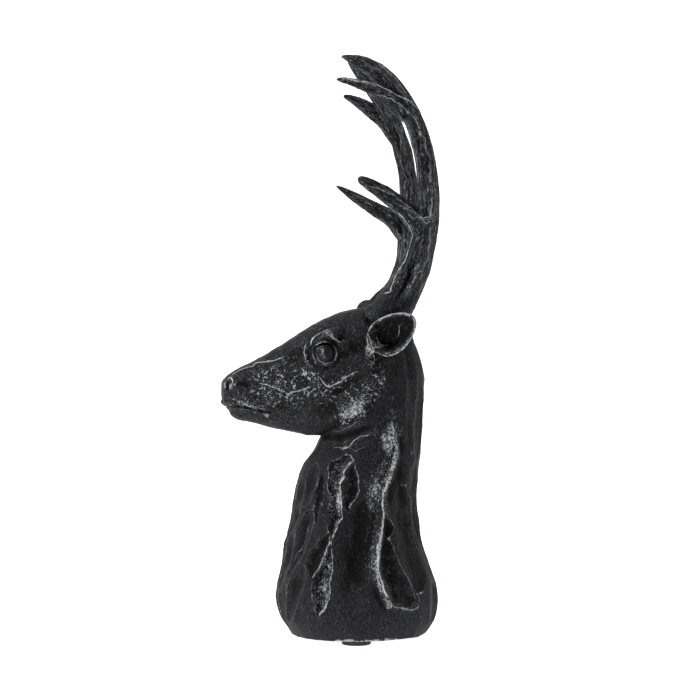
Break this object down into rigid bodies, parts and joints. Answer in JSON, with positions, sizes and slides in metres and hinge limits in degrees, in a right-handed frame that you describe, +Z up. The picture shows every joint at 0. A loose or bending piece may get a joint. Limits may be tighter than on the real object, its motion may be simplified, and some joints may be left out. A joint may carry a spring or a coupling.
{
  "type": "deer head sculpture",
  "caption": "Deer head bust with forked antlers, cupped ears and a flared carved neck, cut flat below and standing on round pads.",
  "frame": {"origin": "under the middle of the figure's box, at the height on which its four pads stand; the middle of the casting's flat underside is 18.9 mm behind it and 3 mm above it", "axes": "-Y is the way the deer looks, +X is its left side, +Z is up"},
  "size_m": [0.0928, 0.1428, 0.3814],
  "materials": {
    "painted_resin": "black paint, silvery white brushed over the carved edges, satin",
    "pad_rubber": "matt black"
  },
  "bodies": {
    "root": {"deer_head_casting": "painted_resin", "pad_left": "pad_rubber", "pad_back": "pad_rubber", "pad_right": "pad_rubber", "pad_front": "pad_rubber"}
  },
  "joints": []
}
